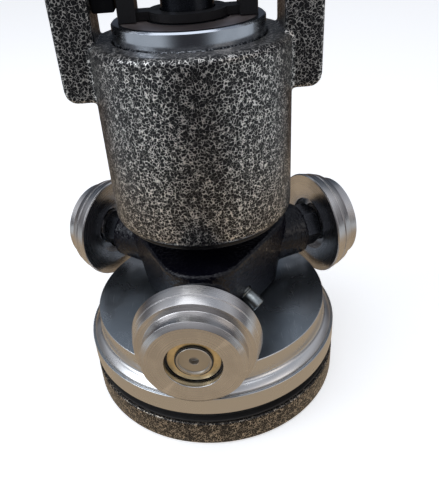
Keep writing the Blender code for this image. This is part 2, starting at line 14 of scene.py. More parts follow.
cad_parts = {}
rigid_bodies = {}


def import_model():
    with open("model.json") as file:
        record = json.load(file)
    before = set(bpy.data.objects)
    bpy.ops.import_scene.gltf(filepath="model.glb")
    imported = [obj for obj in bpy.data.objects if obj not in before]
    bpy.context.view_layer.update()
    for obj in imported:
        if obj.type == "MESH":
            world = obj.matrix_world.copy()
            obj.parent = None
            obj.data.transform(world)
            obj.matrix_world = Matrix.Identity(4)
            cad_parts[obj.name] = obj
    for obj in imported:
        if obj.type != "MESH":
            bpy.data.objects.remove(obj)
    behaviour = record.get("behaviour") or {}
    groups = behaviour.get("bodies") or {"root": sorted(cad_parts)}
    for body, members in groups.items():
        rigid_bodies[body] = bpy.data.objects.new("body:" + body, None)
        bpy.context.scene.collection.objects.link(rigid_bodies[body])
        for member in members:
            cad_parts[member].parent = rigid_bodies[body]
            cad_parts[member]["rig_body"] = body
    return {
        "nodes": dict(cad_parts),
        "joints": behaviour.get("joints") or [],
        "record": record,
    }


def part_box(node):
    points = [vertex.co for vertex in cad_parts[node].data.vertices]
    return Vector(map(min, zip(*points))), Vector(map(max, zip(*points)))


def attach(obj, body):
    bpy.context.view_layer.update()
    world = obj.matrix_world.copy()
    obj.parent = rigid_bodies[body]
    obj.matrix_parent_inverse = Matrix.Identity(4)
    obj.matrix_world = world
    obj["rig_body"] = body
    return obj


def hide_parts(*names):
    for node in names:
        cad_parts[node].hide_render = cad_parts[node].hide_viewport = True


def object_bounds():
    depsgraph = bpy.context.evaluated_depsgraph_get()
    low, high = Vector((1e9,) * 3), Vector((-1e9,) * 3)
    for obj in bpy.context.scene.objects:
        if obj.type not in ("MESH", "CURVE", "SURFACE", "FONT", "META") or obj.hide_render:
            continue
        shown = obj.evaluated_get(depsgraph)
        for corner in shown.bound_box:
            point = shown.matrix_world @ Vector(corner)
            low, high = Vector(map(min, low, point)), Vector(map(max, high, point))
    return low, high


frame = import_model()
cad_low, cad_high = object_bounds()

MM = 0.001
ROUND_STEPS = 160
SMALL_STEPS = 72
ARC_STEPS = 5
SHARP_ANGLE = 38.0
CUT_PAST = 5.0
UPRIGHT = Matrix.Identity(4)
joints = {joint["name"]: joint for joint in frame["joints"]}


# Measures taken from the CAD frame


def measure(node, axis=UPRIGHT):
    """(start, end, inner radius, outer radius) of a node, along an axis and from it."""
    inverse = axis.inverted()
    points = [inverse @ vert.co / MM for vert in frame["nodes"][node].data.vertices]
    radii = [math.hypot(point.x, point.y) for point in points]
    heights = [point.z for point in points]
    return min(heights), max(heights), min(radii), max(radii)


def arm_axis(number):
    """The matrix whose Z axis runs out along one arm of the spider and whose X axis points down."""
    joint = joints[f"wheel_turn_{number}"]
    out = Vector(joint["axis"]).normalized()
    down = Vector((0.0, 0.0, -1.0))
    across = out.cross(down)
    matrix = Matrix((down, across, out)).transposed().to_4x4()
    matrix.translation = (0.0, 0.0, joint["pos_m"][2])
    return matrix


ARMS = {number: arm_axis(number) for number in (1, 2, 3)}


# Mesh helpers


def rounded(corners, closed):
    """Replaces each (x, y, fillet radius) corner by an arc of that radius."""
    points = []
    for index, (x, y, fillet) in enumerate(corners):
        at_end = not closed and index in (0, len(corners) - 1)
        if fillet == 0 or at_end:
            points.append((x, y))
            continue
        here = Vector((x, y))
        before = Vector(corners[index - 1][:2]) - here
        after = Vector(corners[(index + 1) % len(corners)][:2]) - here
        half = before.angle(after) / 2
        reach = min(fillet / math.tan(half), before.length * 0.49, after.length * 0.49)
        before.normalize()
        after.normalize()
        centre = here + (before + after).normalized() * (reach / math.cos(half))
        start = here + before * reach - centre
        end = here + after * reach - centre
        sweep = start.angle(end)
        for step in range(ARC_STEPS + 1):
            share = step / ARC_STEPS
            spoke = start * math.sin((1 - share) * sweep) + end * math.sin(share * sweep)
            points.append(tuple(centre + spoke / math.sin(sweep)))
    return points


def finish_mesh(name, shape, axis=UPRIGHT, sharp=SHARP_ANGLE):
    """Makes an object from a bmesh, in place, smooth except at edges sharper than the given angle."""
    bmesh.ops.remove_doubles(shape, verts=shape.verts, dist=0.0000005)
    bmesh.ops.recalc_face_normals(shape, faces=shape.faces)
    mesh = bpy.data.meshes.new(name)
    shape.to_mesh(mesh)
    shape.free()
    mesh.shade_smooth()
    mesh.set_sharp_from_angle(angle=math.radians(sharp))
    piece = bpy.data.objects.new(name, mesh)
    bpy.context.scene.collection.objects.link(piece)
    piece.matrix_world = axis
    return piece


def lathe(name, corners, axis=UPRIGHT, closed=False, steps=ROUND_STEPS):
    """Turns a profile of (radius, height, fillet radius) corners about an axis."""
    shape = bmesh.new()
    rings = []
    for radius, height in rounded(corners, closed):
        if radius < 1e-6:
            rings.append([shape.verts.new((0.0, 0.0, height * MM))] * steps)
            continue
        angles = [2 * math.pi * step / steps for step in range(steps)]
        spots = [(radius * math.cos(a) * MM, radius * math.sin(a) * MM, height * MM) for a in angles]
        rings.append([shape.verts.new(spot) for spot in spots])
    add_walls(shape, rings, closed)
    return finish_mesh(name, shape, axis)


def add_walls(shape, rings, closed):
    """Joins each ring of vertices to the next one."""
    pairs = list(zip(rings, rings[1:]))
    if closed:
        pairs.append((rings[-1], rings[0]))
    for upper, lower in pairs:
        for index in range(len(upper)):
            after = (index + 1) % len(upper)
            corners = [upper[index], lower[index], lower[after], upper[after]]
            corners = list(dict.fromkeys(corners))
            if len(corners) > 2:
                shape.faces.new(corners)


def prism(name, outline, low, high, axis=UPRIGHT):
    """Extrudes an outline of (x, y) points from one height to another."""
    shape = bmesh.new()
    rings = [[shape.verts.new((x * MM, y * MM, z * MM)) for x, y in outline] for z in (high, low)]
    add_walls(shape, rings, closed=False)
    shape.faces.new(rings[0])
    shape.faces.new(rings[1])
    return finish_mesh(name, shape, axis)


def circle(centre, radius, steps, start=0.0, end=360.0):
    """Points on a circle, or on an arc of it with both ends, in degrees."""
    whole = end - start == 360.0
    count = steps if whole else steps + 1
    angles = [math.radians(start + (end - start) * step / steps) for step in range(count)]
    return [(centre[0] + radius * math.cos(a), centre[1] + radius * math.sin(a)) for a in angles]


def apply_modifiers(piece):
    """Replaces the piece's mesh by what its modifiers make of it."""
    graph = bpy.context.evaluated_depsgraph_get()
    mesh = bpy.data.meshes.new_from_object(piece.evaluated_get(graph))
    piece.modifiers.clear()
    piece.data = mesh
    return piece


def combine(piece, other, operation):
    """Unites a piece with another or cuts the other from it, and removes the other."""
    modifier = piece.modifiers.new("Boolean", "BOOLEAN")
    modifier.operation = operation
    modifier.object = other
    modifier.solver = "EXACT"
    apply_modifiers(piece)
    bpy.data.objects.remove(other)
    piece.data.shade_smooth()
    piece.data.set_sharp_from_angle(angle=math.radians(SHARP_ANGLE))
    return piece


def soften(piece, width, segments=3, angle=40.0):
    """Bevels the sharp edges of a piece."""
    modifier = piece.modifiers.new("Bevel", "BEVEL")
    modifier.width = width * MM
    modifier.segments = segments
    modifier.limit_method = "ANGLE"
    modifier.angle_limit = math.radians(angle)
    apply_modifiers(piece)
    piece.data.shade_smooth()
    piece.data.set_sharp_from_angle(angle=math.radians(SHARP_ANGLE))
    return piece


def cast(piece, voxel, passes):
    """Blends a piece's edges and joints as a casting has them."""
    remesh = piece.modifiers.new("Remesh", "REMESH")
    remesh.mode = "VOXEL"
    remesh.voxel_size = voxel * MM
    smooth = piece.modifiers.new("Smooth", "CORRECTIVE_SMOOTH")
    smooth.iterations = passes
    smooth.factor = 0.5
    smooth.use_only_smooth = True
    apply_modifiers(piece)
    piece.data.shade_smooth()
    return piece


def stand_for(piece, node, finish):
    """Puts a finished piece in the place of one CAD node, on that node's body."""
    piece.data.materials.clear()
    piece.data.materials.append(finish)
    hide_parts(node)
    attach(piece, frame["nodes"][node]["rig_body"])


# Materials


class Finish:
    """A material with a Principled shader, and short calls to add nodes to it."""

    def __init__(self, name, colour, roughness, metallic, **constants):
        self.material = bpy.data.materials.new(name)
        self.material.use_nodes = True
        self.tree = self.material.node_tree
        self.shader = self.tree.nodes["Principled BSDF"]
        self.shader.inputs["Base Color"].default_value = (*colour, 1.0)
        self.shader.inputs["Roughness"].default_value = roughness
        self.shader.inputs["Metallic"].default_value = metallic
        for socket, value in constants.items():
            self.shader.inputs[socket.replace("_", " ")].default_value = value
        self.place = self.tree.nodes.new("ShaderNodeTexCoord").outputs["Object"]

    def add(self, kind, **settings):
        node = self.tree.nodes.new("ShaderNode" + kind)
        for name, value in settings.items():
            setattr(node, name, value)
        return node

    def link(self, output, target):
        self.tree.links.new(output, target)

    def noise(self, scale, detail=2.0, distortion=0.0, place=None):
        """Noise whose features are about the given size in millimetres."""
        node = self.add("TexNoise")
        node.inputs["Scale"].default_value = 1 / (scale * MM)
        node.inputs["Detail"].default_value = detail
        node.inputs["Distortion"].default_value = distortion
        self.link(place or self.place, node.inputs["Vector"])
        return node.outputs["Fac"]

    def warped(self, size, amount):
        """Coordinates pushed about by noise, with both sizes in millimetres."""
        noise = self.add("TexNoise")
        noise.inputs["Scale"].default_value = 1 / (size * MM)
        self.link(self.place, noise.inputs["Vector"])
        centred = self.add("VectorMath", operation="SUBTRACT")
        self.link(noise.outputs["Color"], centred.inputs[0])
        centred.inputs[1].default_value = (0.5, 0.5, 0.5)
        scaled = self.add("VectorMath", operation="SCALE")
        self.link(centred.outputs["Vector"], scaled.inputs[0])
        scaled.inputs["Scale"].default_value = amount * MM
        moved = self.add("VectorMath", operation="ADD")
        self.link(self.place, moved.inputs[0])
        self.link(scaled.outputs["Vector"], moved.inputs[1])
        return moved.outputs["Vector"]

    def cell_edges(self, size, place):
        """The distance to the border of the nearest cell, as a share of the cell size."""
        node = self.add("TexVoronoi", feature="DISTANCE_TO_EDGE")
        node.inputs["Scale"].default_value = 1 / (size * MM)
        self.link(place, node.inputs["Vector"])
        return node.outputs["Distance"]

    def math(self, operation, first, second=0.0):
        node = self.add("Math", operation=operation)
        for socket, value in zip(node.inputs, (first, second)):
            if isinstance(value, (int, float)):
                socket.default_value = value
            else:
                self.link(value, socket)
        return node.outputs["Value"]

    def remap(self, value, from_low, from_high, to_low, to_high):
        node = self.add("MapRange", interpolation_type="SMOOTHSTEP")
        self.link(value, node.inputs["Value"])
        for socket, number in zip(node.inputs[1:5], (from_low, from_high, to_low, to_high)):
            socket.default_value = number
        return node.outputs["Result"]

    def mix(self, share, first, second):
        """Mixes two colours, each an output or an (r, g, b)."""
        node = self.add("Mix", data_type="RGBA")
        self.link(share, node.inputs["Factor"])
        for name, value in (("A", first), ("B", second)):
            socket = next(s for s in node.inputs if s.name == name and s.type == "RGBA")
            if isinstance(value, tuple):
                socket.default_value = (*value, 1.0)
            else:
                self.link(value, socket)
        return next(s for s in node.outputs if s.type == "RGBA")

    def edges(self):
        """About 1 on outer edges and 0 on flat or hollow places."""
        geometry = self.add("NewGeometry")
        return self.remap(geometry.outputs["Pointiness"], 0.52, 0.60, 0.0, 1.0)

    def facing_up(self):
        """The Z part of the surface normal: 1 on a face that looks straight up."""
        split = self.add("SeparateXYZ")
        self.link(self.add("NewGeometry").outputs["Normal"], split.inputs["Vector"])
        return split.outputs["Z"]

    def from_axis(self):
        """The X, Y and Z of the place, and its distance from the Z axis."""
        split = self.add("SeparateXYZ")
        self.link(self.place, split.inputs["Vector"])
        square = self.math("MULTIPLY", split.outputs["X"], split.outputs["X"])
        other = self.math("MULTIPLY", split.outputs["Y"], split.outputs["Y"])
        return split.outputs, self.math("SQRT", self.math("ADD", square, other))

    def turning(self):
        """Coordinates that are the same all the way round the Z axis, so that noise makes rings."""
        parts, radius = self.from_axis()
        join = self.add("CombineXYZ")
        self.link(radius, join.inputs["X"])
        self.link(parts["Z"], join.inputs["Y"])
        return join.outputs["Vector"]

    def lathe_grain(self):
        """Makes stretched highlights run round the Z axis."""
        tangent = self.add("Tangent", direction_type="RADIAL", axis="Z")
        self.link(tangent.outputs["Tangent"], self.shader.inputs["Tangent"])

    def bump(self, height, distance, strength):
        node = self.add("Bump")
        node.inputs["Strength"].default_value = strength
        node.inputs["Distance"].default_value = distance * MM
        self.link(height, node.inputs["Height"])
        self.link(node.outputs["Normal"], self.shader.inputs["Normal"])

    def colour(self, output):
        self.link(output, self.shader.inputs["Base Color"])

    def roughness(self, output):
        self.link(output, self.shader.inputs["Roughness"])

    def metallic(self, output):
        self.link(output, self.shader.inputs["Metallic"])


def hammer_paint(name, dark, light, cell):
    """Near-black paint broken by a fine net of silver veins, each cell a low bump."""
    finish = Finish(name, dark, 0.3, 0.0, Coat_Weight=0.05, Coat_Roughness=0.2, Specular_IOR_Level=0.3)
    border = finish.cell_edges(cell, finish.warped(cell * 1.5, cell * 1.5))
    width = finish.remap(finish.noise(cell * 1.4, 1.0), 0.38, 0.62, 0.01, 0.085)
    veins = finish.remap(finish.math("DIVIDE", border, width), 0.4, 1.3, 1.0, 0.0)
    # The veins are fewer and fainter on faces that look up, so these faces are darker.
    veins = finish.math("MULTIPLY", veins, finish.remap(finish.facing_up(), 0.7, 0.98, 1.0, 0.45))
    tint = finish.mix(finish.noise(24.0, 1.0), light, tuple(0.75 * part for part in light))
    finish.colour(finish.mix(veins, dark, tint))
    finish.metallic(finish.remap(veins, 0.0, 1.0, 0.0, 0.95))
    finish.roughness(finish.remap(veins, 0.0, 1.0, 0.32, 0.30))
    finish.bump(finish.remap(border, 0.0, 0.35, 0.0, 1.0), 0.15, 0.35)
    return finish.material


def turned_metal(name, colour, shade, roughness, ring_size, anisotropy=0.35):
    """Bright metal with the fine rings that a lathe leaves, slightly uneven in tone."""
    finish = Finish(name, colour, roughness, 1.0, Anisotropic=anisotropy)
    finish.lathe_grain()
    rings = finish.noise(ring_size, 3.0, 0.0, finish.turning())
    cloud = finish.noise(14.0, 3.0)
    tone = finish.mix(finish.remap(cloud, 0.3, 0.7, 0.0, 1.0), colour, shade)
    bright = tuple(min(1.0, 1.25 * part) for part in colour)
    finish.colour(finish.mix(finish.math("MULTIPLY", finish.edges(), 0.6), tone, bright))
    scratch = finish.math("MULTIPLY", rings, 0.6)
    level = finish.math("ADD", finish.math("MULTIPLY", cloud, 0.4), scratch)
    finish.roughness(finish.remap(level, 0.3, 0.7, roughness * 0.8, roughness * 1.25))
    finish.bump(rings, 0.006, 0.5)
    return finish.material


def disc_metal(name, side, top, shade, roughness):
    """The disc's metal: bright turned sides, and a top painted darker and bluer as painted shade, with
    handling scratches and stains.
    """
    finish = Finish(name, side, roughness, 1.0, Anisotropic=0.3)
    finish.lathe_grain()
    rings = finish.noise(0.9, 3.0, 0.0, finish.turning())
    stains = finish.remap(finish.noise(22.0, 4.0, 0.6), 0.35, 0.75, 0.0, 1.0)
    stretched = finish.add("Mapping")
    finish.link(finish.place, stretched.inputs["Vector"])
    stretched.inputs["Scale"].default_value = (1.0, 0.06, 1.0)
    stretched.inputs["Rotation"].default_value = (0.0, 0.0, math.radians(32))
    scratch = finish.noise(0.7, 1.0, 0.0, stretched.outputs["Vector"])
    scratches = finish.remap(scratch, 0.68, 0.74, 0.0, 1.0)
    # Painted shade: faces that look up take the darker, bluer top colours instead of the side colour.
    upward = finish.remap(finish.facing_up(), 0.93, 0.995, 0.0, 1.0)
    tone = finish.mix(upward, side, finish.mix(stains, top, shade))
    tone = finish.mix(finish.math("MULTIPLY", scratches, 0.35), tone, (0.8, 0.82, 0.85))
    bright = tuple(min(1.0, 1.3 * part) for part in side)
    finish.colour(finish.mix(finish.math("MULTIPLY", finish.edges(), 0.7), tone, bright))
    finish.roughness(finish.remap(stains, 0.0, 1.0, roughness * 0.85, roughness * 1.2))
    finish.bump(finish.math("ADD", rings, finish.math("MULTIPLY", scratches, 0.5)), 0.015, 0.6)
    return finish.material


def black_gloss(name, colour, roughness, grain, relief, gloss=0.3):
    """Gloss black paint with an orange peel, dust in places and slightly paler edges."""
    finish = Finish(name, colour, roughness, 0.0, Specular_IOR_Level=gloss)
    peel = finish.remap(finish.noise(grain, 2.0, 0.3), 0.40, 0.70, 0.0, 1.0)
    dust = finish.remap(finish.noise(9.0, 4.0), 0.45, 0.8, 0.0, 1.0)
    tone = finish.mix(dust, colour, tuple(part + 0.003 for part in colour))
    worn = tuple(part + 0.02 for part in colour)
    finish.colour(finish.mix(finish.math("MULTIPLY", finish.edges(), 0.5), tone, worn))
    finish.roughness(finish.remap(dust, 0.0, 1.0, roughness, roughness * 1.7))
    finish.bump(peel, relief, 0.7)
    return finish.material


def plain_metal(name, colour, roughness, metallic=1.0, grain=1.2):
    """Metal with a fine mottle, for fasteners and pieces inside."""
    finish = Finish(name, colour, roughness, metallic)
    mottle = finish.noise(grain, 3.0)
    cloud = finish.remap(finish.noise(6.0, 3.0), 0.35, 0.7, 0.0, 1.0)
    darker = tuple(0.72 * part for part in colour)
    bright = tuple(min(1.0, 1.5 * part + 0.02) for part in colour)
    tone = finish.mix(cloud, colour, darker)
    finish.colour(finish.mix(finish.math("MULTIPLY", finish.edges(), 0.7), tone, bright))
    finish.roughness(finish.remap(mottle, 0.3, 0.7, roughness * 0.8, roughness * 1.3))
    finish.bump(mottle, 0.01, 0.5)
    return finish.material


def rubber(name):
    """Matt black rubber with a fine grain."""
    finish = Finish(name, (0.012, 0.012, 0.013), 0.6, 0.0)
    grain = finish.noise(0.5, 3.0)
    finish.colour(finish.mix(finish.noise(8.0, 2.0), (0.010, 0.010, 0.011), (0.022, 0.021, 0.021)))
    finish.roughness(finish.remap(grain, 0.3, 0.7, 0.5, 0.75))
    finish.bump(grain, 0.03, 0.5)
    return finish.material


PAINT = hammer_paint("hammer_paint_yoke", (0.005, 0.005, 0.006), (0.90, 0.87, 0.82), 1.6)
FOOT_PAINT = hammer_paint("hammer_paint_foot", (0.007, 0.006, 0.006), (0.64, 0.56, 0.46), 1.6)
ROLLER_METAL = turned_metal("turned_roller", (0.68, 0.66, 0.65), (0.58, 0.56, 0.55), 0.27, 0.6, 0.0)
# The disc's second and third colours are painted shade for its top face, darker and bluer than the side
# colour; the third is the colour of the stains on it.
DISC_METAL = disc_metal("turned_disc", (0.68, 0.67, 0.66), (0.42, 0.46, 0.50), (0.27, 0.31, 0.35), 0.32)
PLATE_STEEL = turned_metal("seal_plate_steel", (0.62, 0.52, 0.51), (0.54, 0.46, 0.45), 0.34, 0.5)
SLEEVE_STEEL = turned_metal("polished_sleeve", (0.50, 0.53, 0.58), (0.44, 0.47, 0.52), 0.16, 0.5)
STUD_STEEL = turned_metal("axle_steel", (0.55, 0.52, 0.47), (0.47, 0.44, 0.40), 0.34, 0.5)
SPIDER_PAINT = black_gloss("spider_black", (0.003, 0.003, 0.006), 0.10, 1.7, 0.28)
COLLAR_PAINT = black_gloss("collar_black", (0.004, 0.004, 0.005), 0.30, 3.0, 0.03, 0.05)
COVER_PAINT = black_gloss("cover_black", (0.006, 0.006, 0.007), 0.25, 2.0, 0.03)
SHAFT_OXIDE = plain_metal("shaft_oxide", (0.018, 0.020, 0.026), 0.24, 0.8, 0.8)
NUT_OXIDE = plain_metal("nut_oxide", (0.050, 0.055, 0.066), 0.30, 0.9, 0.8)
SCREW_STEEL = plain_metal("screw_steel", (0.42, 0.45, 0.45), 0.34)
BEARING_STEEL = plain_metal("bearing_steel_fine", (0.50, 0.51, 0.53), 0.22)
BRASS = plain_metal("washer_brass", (0.86, 0.70, 0.42), 0.34)
RUBBER = rubber("seal_rubber")
CAD_FINISHES = {
    "hammer_paint": PAINT,
    "gloss_black": COLLAR_PAINT,
    "black_oxide": NUT_OXIDE,
    "turned_aluminium": ROLLER_METAL,
    "ground_steel": SCREW_STEEL,
    "bearing_steel": BEARING_STEEL,
    "brass": BRASS,
    "black_rubber": RUBBER,
}


# Foot, seal and stepped disc

GAP = 0.3
WASHER_ROOM = 0.4
FOOT_LEDGE = 1.0
FOOT_EDGE = 1.1
FOOT_TOE = 2.4
DISC_RIM_HEIGHT = 11.2
DISC_STEP_WIDTH = 6.5
DISC_COVE = 3.6
DISC_COVE_RISE = 6.6
DISC_INNER_LEDGE = 0.5
RIM_CREASE = 0.6
RIM_SLOPE = ((1.8, 1.0, 0.6), (1.65, -RIM_CREASE, 0.15), (1.2, -RIM_CREASE, 0.15), (1.1, 0.0, 0.2))
SEAL_WIDTH = 4.3
# Thickness of the black flange, a dark piece standing for painted shade over the foot's top.
SHADE_FLANGE_THICKNESS = 1.2


def foot():
    low, _, _, radius = measure("base_pad")
    top = measure("gap_seal_ring")[0] - GAP
    post_low, _, _, post_radius = measure("pivot_post")
    floor, _, inner, outer = measure("thrust_washer_lower")
    socket_top = measure("base_pad")[1]
    corners = [
        (0.0, post_low - GAP, 0.0),
        (post_radius + GAP, post_low - GAP, 0.0),
        (post_radius + GAP, socket_top, 0.3),
        (inner - FOOT_LEDGE, socket_top, 0.3),
        (inner - FOOT_LEDGE, floor - GAP, 0.0),
        (outer + WASHER_ROOM, floor - GAP, 0.0),
        (outer + WASHER_ROOM, top, 0.5),
        (radius, top, FOOT_EDGE),
        (radius, low, FOOT_TOE),
        (0.0, low, 0.0),
    ]
    stand_for(lathe("foot_casting", corners), "base_pad", FOOT_PAINT)


# A rubber seal ring in the gap under the disc. Its wide black flange over the foot's top is painted shade:
# a dark piece put where the gap under the disc's rim is in shade.
def seal():
    low, high, inner, flange = measure("gap_seal_ring")
    neck = inner + SEAL_WIDTH
    shelf = low + SHADE_FLANGE_THICKNESS
    corners = [(neck, high, 0.5), (neck, shelf, 0.3), (flange, shelf, 0.3)]
    corners += [(flange, low, 0.3), (inner, low, 0.5), (inner, high, 0.5)]
    piece = lathe("foot_seal_with_shade_flange", corners, closed=True)
    stand_for(piece, "gap_seal_ring", RUBBER)


def disc():
    low, high, bore, rim = measure("stepped_disc")
    _, ceiling, inner, outer = measure("thrust_washer_upper")
    step = rim - DISC_STEP_WIDTH
    lip = low + DISC_RIM_HEIGHT
    room = outer + WASHER_ROOM
    ledge = inner - DISC_INNER_LEDGE
    middle = (step + DISC_COVE, lip + DISC_COVE_RISE)
    cove = [(x, y, 0.0) for x, y in circle(middle, DISC_COVE, 12, 180.0, 250.0)]
    corners = [(bore, high, 0.6), (step, high, 0.5), *cove]
    corners += [(rim - inset, lip + rise, fillet) for inset, rise, fillet in RIM_SLOPE]
    corners += [(rim, lip, 0.35), (rim, low, 0.5), (room, low, 0.3), (room, ceiling + GAP, 0.0)]
    corners += [(ledge, ceiling + GAP, 0.0), (ledge, low, 0.3), (bore, low, 0.3)]
    piece = lathe("disc_turned", corners, closed=True)
    stand_for(piece, "stepped_disc", DISC_METAL)


# Spider with its screw

SPIDER_CHAMFER = 1.5
CORNER_TOP = (24.0, 26.0)
CORNER_BOTTOM = (20.0, 24.0)
BOSS_RADIUS = 16.0
BOSS_START = 26.0
BOSS_END = 61.5
COUNTERBORE = (22.5, 13.3)
SPINDLE_SEAT = 14.3
KEY_ROOM = Vector((GAP, GAP, GAP)) * MM
SCREW_DIP = math.radians(34)
THREAD_PITCH = 1.25
THREAD_DEPTH = 0.35
PLAIN_END = 9.0
SCREW_CHAMFER = 0.5
SCREW_POINT = 0.8
SCREW_SOCKET = (2.3, 4.0)


def spider_hull(low, high):
    """Three leaning corners, each drawn by circles, and the skin that wraps them."""
    shape = bmesh.new()
    edge = high - SPIDER_CHAMFER
    top_radius, top_reach = CORNER_TOP
    low_radius, low_reach = CORNER_BOTTOM
    levels = [
        (low, low_radius - 0.8, low_reach),
        (low + 0.8, low_radius, low_reach),
        (edge, top_radius, top_reach),
        (high, top_radius - SPIDER_CHAMFER, top_reach),
    ]
    for axis in ARMS.values():
        out = axis.to_3x3() @ Vector((0.0, 0.0, 1.0))
        for height, radius, reach in levels:
            made = bmesh.ops.create_circle(shape, segments=64, radius=radius * MM)
            shift = (out.x * reach * MM, out.y * reach * MM, height * MM)
            bmesh.ops.translate(shape, vec=shift, verts=made["verts"])
    made = bmesh.ops.convex_hull(shape, input=shape.verts)
    unused = [item for item in made["geom_interior"] if isinstance(item, bmesh.types.BMVert)]
    bmesh.ops.delete(shape, geom=unused, context="VERTS")
    return finish_mesh("spider_casting", shape)


def rod(name, radius, low, high, axis=UPRIGHT, steps=SMALL_STEPS):
    """A plain cylinder about an axis."""
    corners = [(0.0, high, 0.0), (radius, high, 0.0), (radius, low, 0.0), (0.0, low, 0.0)]
    return lathe(name, corners, axis, steps=steps)


def spider():
    low, high = (corner.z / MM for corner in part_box("spider"))
    piece = spider_hull(low, high)
    for number, axis in ARMS.items():
        stud_start, _, _, stud_radius = measure(f"axle_stud_{number}", axis)
        combine(piece, rod("boss", BOSS_RADIUS, BOSS_START, BOSS_END, axis), "UNION")
        hole = rod("hole", stud_radius + GAP, stud_start - GAP, BOSS_END + CUT_PAST, axis)
        combine(piece, hole, "DIFFERENCE")
    combine(piece, rod("bore", SPINDLE_SEAT, low - CUT_PAST, high + CUT_PAST), "DIFFERENCE")
    radius, depth = COUNTERBORE
    combine(piece, rod("counterbore", radius, low - CUT_PAST, low + depth), "DIFFERENCE")
    key_low, key_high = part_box("spider_key")
    key_high.z = high * MM + CUT_PAST * MM
    combine(piece, block("keyway", key_low - KEY_ROOM, key_high + KEY_ROOM), "DIFFERENCE")
    axis = screw_axis()
    start, end, _, radius = measure("clamp_screw", axis)
    combine(piece, rod("screw_hole", radius + GAP, start - GAP, end + CUT_PAST, axis), "DIFFERENCE")
    cast(piece, 0.8, 3)
    stand_for(piece, "spider", SPIDER_PAINT)


def block(name, low, high):
    """A box between two corners, in metres."""
    shape = bmesh.new()
    bmesh.ops.create_cube(shape, size=1.0)
    for vert in shape.verts:
        for index in range(3):
            share = vert.co[index] + 0.5
            vert.co[index] = low[index] + share * (high[index] - low[index])
    return finish_mesh(name, shape)


def screw_axis():
    """The set screw's axis: halfway between two arms, through its CAD node's middle, dipping outward."""
    angle = math.atan2(ARMS[1][1][2], ARMS[1][0][2]) + math.pi / 3
    level = Vector((math.cos(angle), math.sin(angle), 0.0))
    down = Vector((0.0, 0.0, -1.0))
    out = level * math.cos(SCREW_DIP) + down * math.sin(SCREW_DIP)
    below = down * math.cos(SCREW_DIP) - level * math.sin(SCREW_DIP)
    matrix = Matrix((below, out.cross(below), out)).transposed().to_4x4()
    points = [vert.co for vert in frame["nodes"]["clamp_screw"].data.vertices]
    matrix.translation = sum(points, Vector()) / len(points)
    return matrix


def clamp_screw():
    """A set screw with a hexagon socket, a plain end and a thread of fine rings farther in."""
    axis = screw_axis()
    start, end, _, radius = measure("clamp_screw", axis)
    chamfer = SCREW_CHAMFER
    corners = [(0.0, end, 0.0), (radius - chamfer, end, 0.1), (radius, end - chamfer, 0.1)]
    for turn in range(int((end - start - PLAIN_END - 2.0) / THREAD_PITCH)):
        crest = end - PLAIN_END - turn * THREAD_PITCH
        corners += [(radius, crest, 0.0), (radius - THREAD_DEPTH, crest - THREAD_PITCH / 2, 0.0)]
    corners += [(radius, start + SCREW_POINT, 0.0), (radius - SCREW_POINT, start, 0.1), (0.0, start, 0.0)]
    piece = lathe("set_screw", corners, axis, steps=SMALL_STEPS)
    socket_radius, depth = SCREW_SOCKET
    socket = prism("socket", circle((0.0, 0.0), socket_radius, 6), end - depth, end + 1.0, axis)
    combine(piece, socket, "DIFFERENCE")
    stand_for(piece, "clamp_screw", SCREW_STEEL)


# Rollers and what holds them

GROOVE = 6.4
FLANGE_FRONT = 11.1
HUB_STEP = 6.8
FLANGE_TAPER = 2.9
FACE_CHAMFER = (2.6, 1.6)
GROOVE_DEPTH = 2.0
GROOVE_HALF = 0.45
FLANGE_BEVEL = 0.7
REAR_RECESS = (2.7, 5.1)
RACE_LIP = 1.9
STUD_DISH_DEPTH = 0.9
STUD_DISH = (7.2, 7.4)
STUD_CENTRE = ((0.0, 3.0), (2.0, 2.2))
STUD_CENTRE_RADIUS = 2.3
STUD_GROOVE = (0.6, 1.3)
STUD_EDGE = 0.2
NUT_BEVEL = 0.8
NUT_FACE = 0.96
NUT_STEPS = 120
BUSH_FLANGE = 1.1
BUSH_WALL = 3.0
CLIP_END = 1.6


def roller(number):
    axis = ARMS[number]
    rear, front, _, flange = measure(f"roller_{number}", axis)
    race_start, _, _, race_radius = measure(f"roller_race_outer_{number}", axis)
    clip_low, clip_high, _, clip_radius = measure(f"bore_clip_{number}", axis)
    groove_radius = clip_radius + GAP
    bore = race_radius + GAP
    hub = flange - HUB_STEP
    groove = rear + GROOVE
    shelf = rear + FLANGE_FRONT
    recess = bore + REAR_RECESS[0]
    recess_floor = rear + REAR_RECESS[1]
    corners = [
        (bore, front, 0.4),
        (hub - FACE_CHAMFER[0], front, 0.15),
        (hub, front - FACE_CHAMFER[1], 0.2),
        (hub, shelf, 0.5),
        (flange - FLANGE_TAPER, shelf, 0.25),
        (flange - 1.4, groove + GROOVE_HALF, 0.1),
        (flange - GROOVE_DEPTH, groove, 0.1),
        (flange - 1.3, groove - GROOVE_HALF, 0.1),
        (flange, rear + FLANGE_BEVEL, 0.2),
        (flange - FLANGE_BEVEL, rear, 0.2),
        (recess, rear, 0.3),
        (recess, recess_floor, 0.2),
        (bore - RACE_LIP, recess_floor, 0.2),
        (bore - RACE_LIP, race_start - GAP, 0.0),
        (bore, race_start - GAP, 0.0),
        (bore, clip_low - GAP, 0.1),
        (groove_radius, clip_low - GAP, 0.0),
        (groove_radius, clip_high + GAP, 0.0),
        (bore, clip_high + GAP, 0.1),
    ]
    piece = lathe(f"roller_turned_{number}", corners, axis, closed=True)
    stand_for(piece, f"roller_{number}", ROLLER_METAL)


